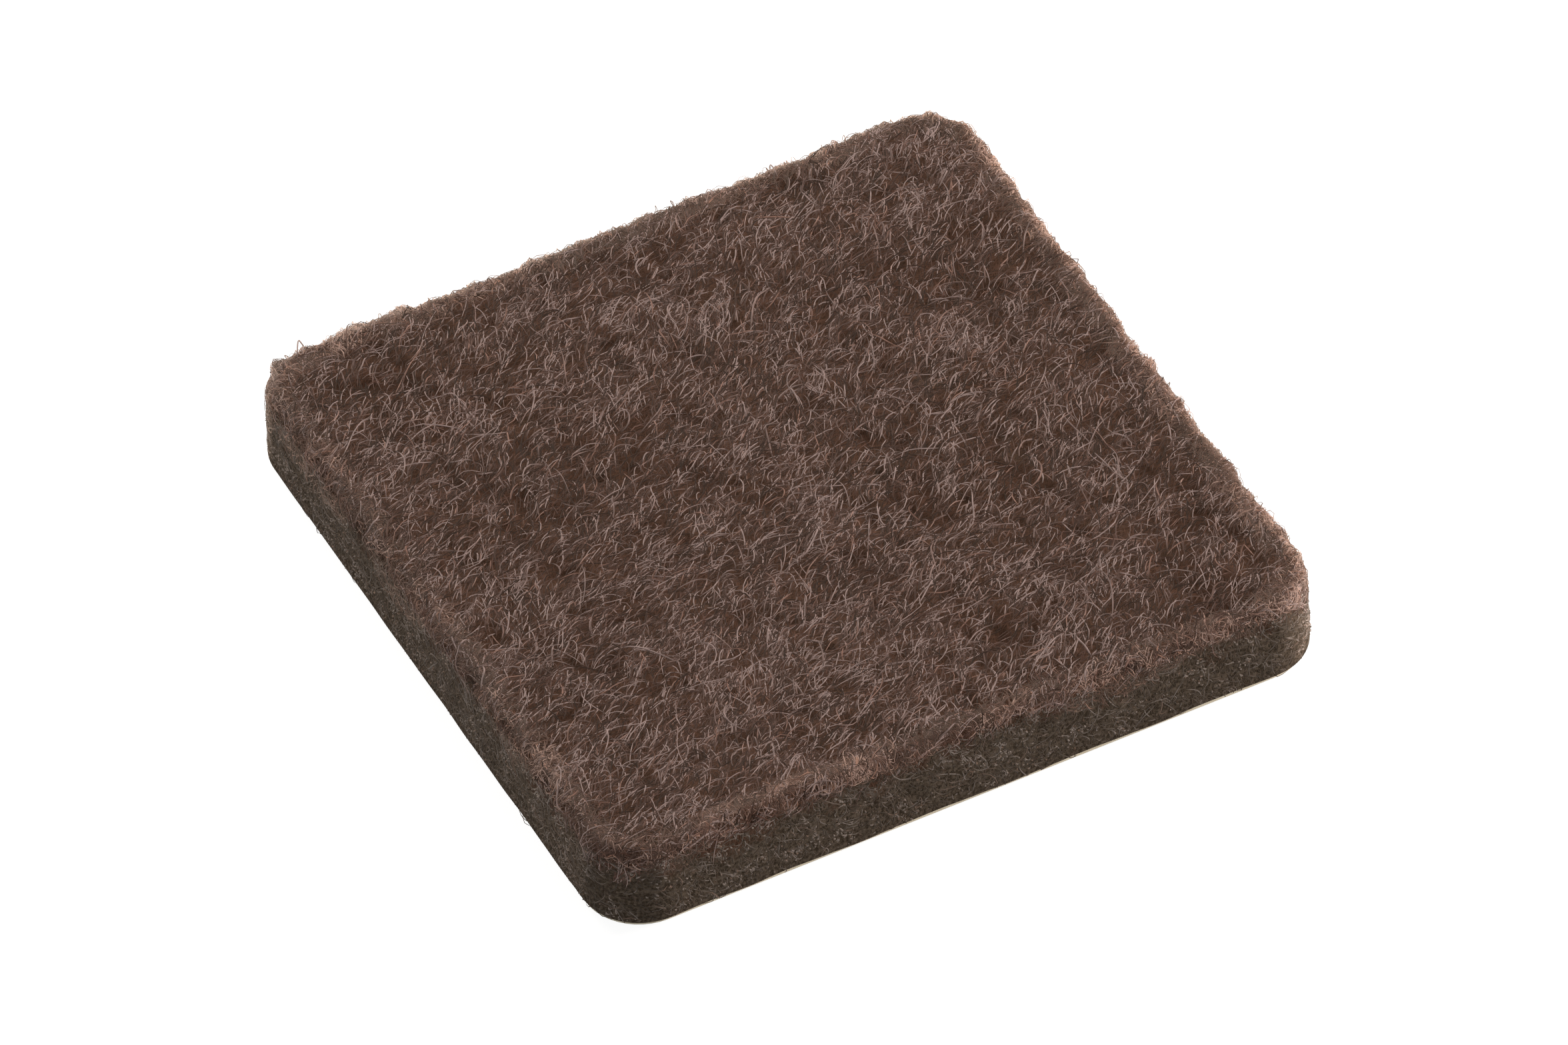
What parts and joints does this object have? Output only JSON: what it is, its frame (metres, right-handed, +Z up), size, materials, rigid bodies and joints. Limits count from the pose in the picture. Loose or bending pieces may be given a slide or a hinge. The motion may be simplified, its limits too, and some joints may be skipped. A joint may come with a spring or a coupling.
{
  "type": "felt furniture slider",
  "caption": "Square self-adhesive felt slider for a furniture foot: a die-cut block of brown needle felt on double-coated tape, with a release liner that peels off.",
  "frame": {"origin": "centre of the release liner's lower face, on the surface that the pad lies on", "axes": "+Z up, out of the felt face that slides on the floor in use; +X and +Y along the square's sides"},
  "size_m": [0.025, 0.025, 0.003],
  "materials": {
    "felt": "matte",
    "adhesive": "gloss",
    "carrier_film": "satin",
    "liner_paper": "satin"
  },
  "bodies": {
    "liner": {"release_liner": "liner_paper"},
    "pad": {"felt_pad": "felt", "felt_adhesive": "adhesive", "tape_carrier": "carrier_film", "leg_adhesive": "adhesive"}
  },
  "joints": [
    {"name": "pad_lift", "type": "slide", "parent": "liner", "child": "pad", "axis": [0, 0, 1], "range_m": [0, 0.006]}
  ]
}
